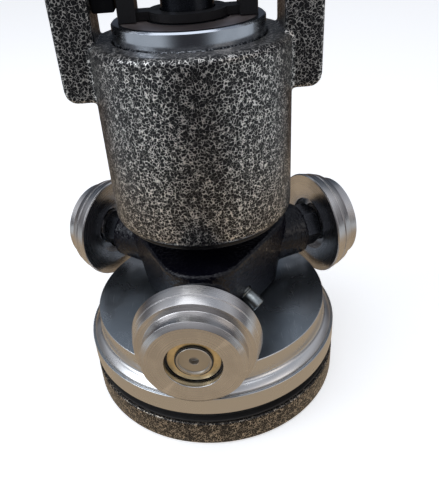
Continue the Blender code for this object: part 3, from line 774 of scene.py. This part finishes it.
def stud(number):
    axis = ARMS[number]
    start, end, _, radius = measure(f"axle_stud_{number}", axis)
    (tip_radius, tip_depth), (wall_radius, wall_depth) = STUD_CENTRE
    floor_radius, rim_radius = STUD_DISH
    groove_depth, groove_end = STUD_GROOVE
    dish = end - STUD_DISH_DEPTH
    corners = [
        (tip_radius, dish - tip_depth, 0.0),
        (wall_radius, dish - wall_depth, 0.1),
        (STUD_CENTRE_RADIUS, dish, 0.15),
        (floor_radius, dish, 0.2),
        (rim_radius, end, 0.15),
        (radius - STUD_EDGE, end, 0.0),
        (radius, end - STUD_EDGE, 0.0),
        (radius - groove_depth, end - STUD_EDGE, 0.0),
        (radius - groove_depth, end - groove_end, 0.0),
        (radius, end - groove_end, 0.0),
        (radius, start, 0.8),
        (0.0, start, 0.0),
    ]
    piece = lathe(f"axle_stud_turned_{number}", corners, axis, steps=SMALL_STEPS)
    stand_for(piece, f"axle_stud_{number}", STUD_STEEL)


def hex_nut(name, node, axis, finish):
    """A hexagon nut whose corners are cut back by a cone on both faces, as a real nut's are."""
    low, high, bore, corner = measure(node, axis)
    flat = corner * math.cos(math.pi / 6)
    slope = math.tan(math.radians(30))
    rings = []
    shape = bmesh.new()
    angles = [2 * math.pi * step / NUT_STEPS for step in range(NUT_STEPS)]

    def ring(radius_at, height_at):
        rings.append([])
        for angle in angles:
            radius = radius_at(angle)
            spot = (radius * math.cos(angle) * MM, radius * math.sin(angle) * MM, height_at(radius) * MM)
            rings[-1].append(shape.verts.new(spot))

    def hexagon(angle):
        from_corner = angle % (math.pi / 3) - math.pi / 6
        return flat / math.cos(math.pi / 6 - abs(from_corner))

    shoulder = flat * NUT_FACE
    ring(lambda angle: bore, lambda radius: high - NUT_BEVEL)
    ring(lambda angle: bore + NUT_BEVEL, lambda radius: high)
    ring(lambda angle: shoulder, lambda radius: high)
    ring(hexagon, lambda radius: high - (radius - shoulder) * slope)
    ring(hexagon, lambda radius: low + (radius - shoulder) * slope)
    ring(lambda angle: shoulder, lambda radius: low)
    ring(lambda angle: bore + NUT_BEVEL, lambda radius: low)
    ring(lambda angle: bore, lambda radius: low + NUT_BEVEL)
    add_walls(shape, rings, closed=True)
    stand_for(finish_mesh(name, shape, axis, sharp=25.0), node, finish)


def washer(number):
    """The brass bush round the stud's end, with its flange in front."""
    axis = ARMS[number]
    node = f"brass_washer_{number}"
    low, high, inner, outer = measure(node, axis)
    flange = high - BUSH_FLANGE
    neck = inner + BUSH_WALL
    corners = [(outer, high, 0.25), (outer, flange, 0.1), (neck, flange, 0.0)]
    corners += [(neck, low, 0.1), (inner, low, 0.1), (inner, high, 0.2)]
    piece = lathe(f"washer_turned_{number}", corners, axis, closed=True)
    stand_for(piece, node, BRASS)


def open_ring(name, node, axis, opening, lug):
    """A spring retaining ring, open at its lower side, with a lug at each end."""
    low, high, inner, outer = measure(node, axis)
    half = math.degrees(math.asin(opening / 2 / ((inner + outer) / 2)))
    outline = circle((0.0, 0.0), outer, SMALL_STEPS, half, 360.0 - half)
    inside = circle((0.0, 0.0), inner, SMALL_STEPS, 360.0 - half, half)
    ends = math.degrees(CLIP_END / inner)
    shift = 1.0 - lug / inner
    for index, (x, y) in enumerate(inside):
        if abs(math.degrees(math.atan2(y, x))) < half + ends:
            inside[index] = (x * shift, y * shift)
    piece = prism(name, outline + inside, low, high, axis)
    stand_for(piece, node, NUT_OXIDE)


def roller_sets():
    for number in ARMS:
        roller(number)
        stud(number)
        hex_nut(f"lock_nut_milled_{number}", f"lock_nut_{number}", ARMS[number], NUT_OXIDE)
        washer(number)
        open_ring(f"bore_clip_sprung_{number}", f"bore_clip_{number}", ARMS[number], 8.6, 0.35)
        open_ring(f"axle_clip_sprung_{number}", f"axle_clip_{number}", ARMS[number], 4.0, 0.0)


# Yoke, sleeve, cover, collar and spindle

YOKE_INNER = 43.3
YOKE_BOTTOM = 177.5
YOKE_HALF_DEPTH = 13.7
ARM_CORNER = 6.0
INNER_FILLET = 3.0
SLEEVE_STANDS_OUT = 7.7
YOKE_LIP = 5.0
SLEEVE_CHAMFER = 0.8
COVER_FLANGE = 3.2
COVER_FLOOR = 2.0
COVER_WALL = 4.9
COVER_FIT = 0.1


def yoke():
    box_low, box_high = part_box("yoke_housing")
    low, high = box_low.z / MM, box_high.z / MM
    reach, radius = box_high.x / MM, box_high.y / MM
    sleeve_low, sleeve_high, _, sleeve_radius = measure("bearing_sleeve")
    top = sleeve_high - SLEEVE_STANDS_OUT
    _, race_high, _, race_radius = measure("lower_race_outer")
    middle_bore = race_radius - YOKE_LIP
    corners = [
        (sleeve_radius + GAP, top, 0.9),
        (radius, top, 3.0),
        (radius, low, 3.5),
        (race_radius + GAP, low, 0.8),
        (race_radius + GAP, race_high + GAP, 0.0),
        (middle_bore, race_high + GAP, 0.0),
        (middle_bore, sleeve_low - GAP, 0.0),
        (sleeve_radius + GAP, sleeve_low - GAP, 0.0),
    ]
    piece = lathe("yoke_casting", corners, closed=True)
    for side in (-1, 1):
        combine(piece, yoke_arm(side, reach, high, top), "UNION")
    cast(piece, 0.9, 4)
    stand_for(piece, "yoke_housing", PAINT)


def yoke_arm(side, reach, high, barrel_top):
    """One arm's outline, drawn from the side and extruded across."""
    corners = [
        (YOKE_INNER - 3.0, YOKE_BOTTOM, 0.0),
        (reach, YOKE_BOTTOM, ARM_CORNER),
        (reach, high, 1.0),
        (YOKE_INNER, high, 1.0),
        (YOKE_INNER, barrel_top - 0.3, INNER_FILLET),
        (YOKE_INNER - 3.0, barrel_top - 0.3, 0.0),
    ]
    outline = [(side * x, z) for x, z in rounded(corners, closed=True)]
    axis = Matrix.Rotation(math.radians(90), 4, "X")
    piece = prism("arm", outline, -YOKE_HALF_DEPTH, YOKE_HALF_DEPTH, axis)
    piece.data.transform(piece.matrix_world)
    piece.matrix_world = UPRIGHT
    return soften(piece, 2.0, 4, angle=60.0)


def sleeve():
    low, high, lip, radius = measure("bearing_sleeve")
    _, race_high, _, race_radius = measure("upper_race_outer")
    plate_low, _, _, plate_radius = measure("upper_seal_plate")
    rim = plate_radius + GAP
    corners = [
        (rim, high, 0.25),
        (radius - SLEEVE_CHAMFER, high, 0.1),
        (radius, high - SLEEVE_CHAMFER, 0.1),
        (radius, low, 0.4),
        (race_radius + GAP, low, 0.3),
        (race_radius + GAP, race_high + GAP, 0.0),
        (lip, race_high + GAP, 0.2),
        (lip, plate_low - GAP, 0.0),
        (rim, plate_low - GAP, 0.0),
    ]
    piece = lathe("sleeve_polished", corners, closed=True)
    stand_for(piece, "bearing_sleeve", SLEEVE_STEEL)


def seal_plate():
    low, high, inner, outer = measure("upper_seal_plate")
    corners = [(outer, high, 0.25), (outer, low, 0.2), (inner, low, 0.2), (inner, high, 0.3)]
    piece = lathe("seal_plate_turned", corners, closed=True)
    stand_for(piece, "upper_seal_plate", PLATE_STEEL)


def cover():
    low, high, bore, rim = measure("lower_cover")
    flange = low + COVER_FLANGE
    spigot = measure("lower_race_outer")[3] - COVER_FIT
    corners = [
        (spigot, high, 0.3),
        (spigot, flange, 0.0),
        (rim, flange, 0.7),
        (rim, low, 0.9),
        (bore, low, 0.5),
        (bore, flange + COVER_FLOOR, 0.3),
        (spigot - COVER_WALL, flange + COVER_FLOOR, 0.0),
        (spigot - COVER_WALL, high, 0.3),
    ]
    piece = lathe("cover_turned", corners, closed=True)
    stand_for(piece, "lower_cover", COVER_PAINT)


JAW_INNER = 23.5
JAW_HALF_DEPTH = 9.0
WEB_HALF_DEPTH = 5.5
COLLAR_FLOOR = 3.6
COLLAR_HUB = 18.5
TRIM_PAST = 2.0
KEEP_PAST = 3.0


def collar():
    """A hub with a web to each side, and an upright jaw on the end of each web."""
    low, high, bore, radius = measure("jaw_collar")
    floor = low + COLLAR_FLOOR
    corners = [(radius, high, 0.0), (radius, low, 0.0), (bore, low, 0.0), (bore, high, 0.0)]
    piece = lathe("collar_milled", corners, closed=True)
    wide = radius + CUT_PAST
    bottom = low - TRIM_PAST
    top = high + TRIM_PAST
    slot = ((-JAW_INNER, -wide, floor), (JAW_INNER, wide, top))
    combine(piece, block("slot", *(Vector(corner) * MM for corner in slot)), "DIFFERENCE")
    for half_depth, half_width in ((JAW_HALF_DEPTH, wide), (WEB_HALF_DEPTH, JAW_INNER)):
        for near, far in ((-wide, -half_depth), (half_depth, wide)):
            corner = Vector((-half_width, near, bottom)) * MM
            trim = block("trim", corner, Vector((half_width, far, top)) * MM)
            keep = rod("keep", COLLAR_HUB, low - KEEP_PAST, high + KEEP_PAST, steps=ROUND_STEPS)
            combine(trim, keep, "DIFFERENCE")
            combine(piece, trim, "DIFFERENCE")
    soften(piece, 0.5, angle=30.0)
    stand_for(piece, "jaw_collar", COLLAR_PAINT)


def tie_bar():
    piece = soften(block("tie_bar_milled", *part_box("tie_bar")), 1.0, 4)
    stand_for(piece, "tie_bar", COLLAR_PAINT)


RING_GROOVE_DEPTH = 0.6
SHOULDER_GAP = 0.7
POST_ROOM = 1.0
DRIVE_SLOT = (2.9, 18.0)


def spindle():
    low, high, _, widest = measure("spindle")
    tip = measure("race_lock_ring")[2] - RING_GROOVE_DEPTH
    _, race_high, race_bore, _ = measure("upper_race_inner")
    upper = race_bore - GAP
    seat_top = race_high + GAP
    seat_low = measure("lower_race_inner")[1] + SHOULDER_GAP
    _, post_top, _, post_radius = measure("pivot_post")
    spider_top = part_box("spider")[1].z / MM
    corners = [
        (0.0, high, 0.0),
        (tip, high, 1.0),
        (tip, seat_top, 0.2),
        (upper, seat_top, 0.3),
        (upper, seat_low, 0.2),
        (widest, seat_low, 0.3),
        (widest, spider_top + GAP, 0.2),
        (SPINDLE_SEAT - GAP, spider_top + GAP, 0.2),
        (SPINDLE_SEAT - GAP, low, 1.0),
        (post_radius + GAP, low, 0.5),
        (post_radius + GAP, post_top + POST_ROOM, 0.0),
        (0.0, post_top + POST_ROOM, 0.0),
    ]
    piece = lathe("spindle_turned", corners)
    key_low, key_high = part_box("spider_key")
    combine(piece, block("key_slot", key_low - KEY_ROOM, key_high + KEY_ROOM), "DIFFERENCE")
    half = (key_high.x - key_low.x) / 2
    depth, length = DRIVE_SLOT
    slot_low = Vector((-half, (tip - depth) * MM, (high - length) * MM))
    slot_high = Vector((half, (tip + TRIM_PAST) * MM, (high + CUT_PAST) * MM))
    combine(piece, block("drive_slot", slot_low, slot_high), "DIFFERENCE")
    stand_for(piece, "spindle", SHAFT_OXIDE)


def carried_over_nodes():
    """Gives each CAD node that is still shown its fine material."""
    slots = {row["node"]: row.get("material_slot") for row in frame["record"].get("subparts", [])}
    for name, node in frame["nodes"].items():
        if node.hide_render:
            continue
        for place in node.material_slots:
            base = place.material.name.split(".")[0]
            place.material = CAD_FINISHES.get(slots.get(name) or base, BEARING_STEEL)


# Floor, backdrop, light and camera

FLOOR_SIZE = 8.0
FLOOR_GLOW = 0.55
FLOOR_COLOUR = (0.86, 0.86, 0.855)
BENCH_DROP = 0.002
BENCH_NEAR = (0.44, 0.35, 0.25)
BENCH_FRONT = (0.05, 0.05, 0.055)
BENCH_SIDE = (0.56, 0.60, 0.64)
BENCH_BACK = (0.10, 0.07, 0.05)
BENCH_FADE = (0.24, 0.40)
SKY_FRONT = (
    (0.0, (0.06, 0.06, 0.07)),
    (0.30, (0.22, 0.22, 0.24)),
    (0.55, (0.62, 0.64, 0.69)),
    (0.85, (0.34, 0.37, 0.43)),
    (1.0, (0.50, 0.53, 0.60)),
)
SKY_BACK = (
    (0.0, (0.05, 0.05, 0.06)),
    (0.50, (0.08, 0.10, 0.13)),
    (0.68, (0.15, 0.18, 0.22)),
    (0.82, (0.56, 0.58, 0.62)),
    (1.0, (0.50, 0.53, 0.60)),
)
SKY_TURN = (0.35, 0.70)
CAMERA_TARGET = 0.112
CAMERA_DISTANCE = 0.31301
CAMERA_ELEVATION = math.radians(28.151)
CAMERA_PAN = math.radians(1.231)
CAMERA_TILT = math.radians(-4.886)
CAMERA_ROLL = math.radians(-4.615)
CAMERA_LENS = 39.92904
SENSOR = 36.0


def sheet(name, height, material):
    """A flat square of the floor's size, at a height in metres."""
    shape = bmesh.new()
    bmesh.ops.create_grid(shape, x_segments=1, y_segments=1, size=FLOOR_SIZE / 2)
    bmesh.ops.translate(shape, vec=(0.0, 0.0, height), verts=shape.verts)
    piece = finish_mesh(name, shape)
    piece.data.materials.append(material)
    return piece


def seen_only_by(piece, camera=False, glossy=False):
    """Hides a stage piece from every kind of ray but the ones named."""
    piece.visible_camera = camera
    piece.visible_diffuse = False
    piece.visible_glossy = glossy
    piece.visible_transmission = False
    piece.visible_volume_scatter = False
    piece.visible_shadow = False


def glow(name, colour):
    """A flat emitter. The colour is an (r, g, b), or a function that builds it from the nodes."""
    finish = Finish(name, (0.0, 0.0, 0.0), 1.0, 0.0)
    finish.tree.nodes.remove(finish.shader)
    emission = finish.add("Emission")
    if callable(colour):
        finish.link(colour(finish), emission.inputs["Color"])
    else:
        emission.inputs["Color"].default_value = (*colour, 1.0)
    target = finish.tree.nodes["Material Output"].inputs["Surface"]
    finish.link(emission.outputs["Emission"], target)
    return finish.material


def bench_colour(finish):
    """Warm wood round the foot. Farther off it is dark in front, light at the sides and golden behind."""
    parts, radius = finish.from_axis()
    behind = finish.math("DIVIDE", parts["Y"], finish.math("MAXIMUM", radius, 0.01))
    sides = finish.mix(finish.remap(behind, 0.1, 0.7, 0.0, 1.0), BENCH_SIDE, BENCH_BACK)
    around = finish.mix(finish.remap(behind, -0.99, -0.72, 0.0, 1.0), BENCH_FRONT, sides)
    far = finish.remap(radius, *BENCH_FADE, 0.0, 1.0)
    return finish.mix(far, BENCH_NEAR, around)


def stage():
    """A pale floor and backdrop for the eye, and a warm bench top for what the metal reflects."""
    pale = Finish("pale_floor", FLOOR_COLOUR, 0.9, 0.0, Emission_Strength=FLOOR_GLOW)
    pale.shader.inputs["Emission Color"].default_value = (0.95, 0.95, 0.95, 1.0)
    pale.colour(pale.mix(pale.noise(400.0), FLOOR_COLOUR, (0.84, 0.84, 0.84)))
    floor = sheet("floor", cad_low.z, pale.material)
    floor.visible_glossy = False
    bench = sheet("bench_reflection", cad_low.z - BENCH_DROP, glow("bench", bench_colour))
    seen_only_by(bench, glossy=True)
    shape = bmesh.new()
    bmesh.ops.create_icosphere(shape, subdivisions=4, radius=FLOOR_SIZE)
    backdrop = finish_mesh("backdrop", shape)
    backdrop.data.materials.append(glow("backdrop", (0.92, 0.92, 0.92)))
    seen_only_by(backdrop, camera=True)


def sky_colours(nodes, links, elevation, stops):
    """A colour ramp over the sine of the elevation."""
    ramp = nodes.new("ShaderNodeValToRGB")
    links.new(elevation, ramp.inputs["Fac"])
    elements = ramp.color_ramp.elements
    while len(elements) < len(stops):
        elements.new(0.5)
    for element, (position, colour) in zip(elements, stops):
        element.position = position
        element.color = (*colour, 1.0)
    return ramp.outputs["Color"]


def world():
    """A soft studio sky: a broad window low in front, and behind the object only a high one."""
    made = bpy.data.worlds.new("studio")
    made.use_nodes = True
    bpy.context.scene.world = made
    nodes = made.node_tree.nodes
    links = made.node_tree.links
    place = nodes.new("ShaderNodeTexCoord")
    split = nodes.new("ShaderNodeSeparateXYZ")
    links.new(place.outputs["Generated"], split.inputs["Vector"])
    share = nodes.new("ShaderNodeMapRange")
    share.interpolation_type = "SMOOTHSTEP"
    links.new(split.outputs["Y"], share.inputs["Value"])
    share.inputs["From Min"].default_value, share.inputs["From Max"].default_value = SKY_TURN
    mix = nodes.new("ShaderNodeMix")
    mix.data_type = "RGBA"
    links.new(share.outputs["Result"], mix.inputs["Factor"])
    colours = [socket for socket in mix.inputs if socket.type == "RGBA"]
    for socket, stops in zip(colours, (SKY_FRONT, SKY_BACK)):
        links.new(sky_colours(nodes, links, split.outputs["Z"], stops), socket)
    mixed = next(socket for socket in mix.outputs if socket.type == "RGBA")
    links.new(mixed, nodes["Background"].inputs["Color"])


def softbox(name, spot, target, size, energy, colour):
    data = bpy.data.lights.new(name, "AREA")
    data.shape = "RECTANGLE"
    data.size, data.size_y = size
    data.energy = energy
    data.color = colour
    lamp = bpy.data.objects.new(name, data)
    bpy.context.scene.collection.objects.link(lamp)
    lamp.location = spot
    lamp.rotation_mode = "QUATERNION"
    lamp.rotation_quaternion = (Vector(target) - Vector(spot)).to_track_quat("-Z", "Y")


def lights():
    middle = (0.0, 0.0, 0.12)
    softbox("overhead", (-0.15, -0.20, 1.2), middle, (1.1, 0.9), 4.0, (0.93, 0.96, 1.0))
    softbox("window", (-0.95, -0.35, 0.80), middle, (0.6, 0.8), 5.0, (0.85, 0.92, 1.0))
    softbox("fill", (0.8, -0.7, 0.5), middle, (0.6, 0.6), 1.0, (1.0, 0.93, 0.86))


def camera():
    """The photograph's viewpoint: an orbit position, then small pan, tilt and roll angles."""
    target = Vector((0.0, 0.0, CAMERA_TARGET))
    back = Vector((0.0, -math.cos(CAMERA_ELEVATION), math.sin(CAMERA_ELEVATION)))
    spot = target + back * CAMERA_DISTANCE
    ahead = -back
    right = Vector((1.0, 0.0, 0.0))
    up = right.cross(ahead)
    level = ahead * math.cos(CAMERA_PAN) + right * math.sin(CAMERA_PAN)
    view = (level * math.cos(CAMERA_TILT) + up * math.sin(CAMERA_TILT)).normalized()
    right = view.cross(up).normalized()
    up = right.cross(view)
    across = right * math.cos(CAMERA_ROLL) + up * math.sin(CAMERA_ROLL)
    upward = up * math.cos(CAMERA_ROLL) - right * math.sin(CAMERA_ROLL)
    data = bpy.data.cameras.new("camera")
    data.sensor_width = SENSOR
    data.lens = CAMERA_LENS
    data.clip_start = 0.01
    data.clip_end = 100.0
    viewer = bpy.data.objects.new("camera", data)
    bpy.context.scene.collection.objects.link(viewer)
    matrix = Matrix((across, upward, -view)).transposed().to_4x4()
    matrix.translation = spot
    viewer.matrix_world = matrix
    bpy.context.scene.camera = viewer


foot()
seal()
disc()
spider()
clamp_screw()
roller_sets()
yoke()
sleeve()
seal_plate()
cover()
collar()
tie_bar()
spindle()
carried_over_nodes()
stage()
world()
lights()
camera()
bpy.context.scene.view_settings.view_transform = "Standard"
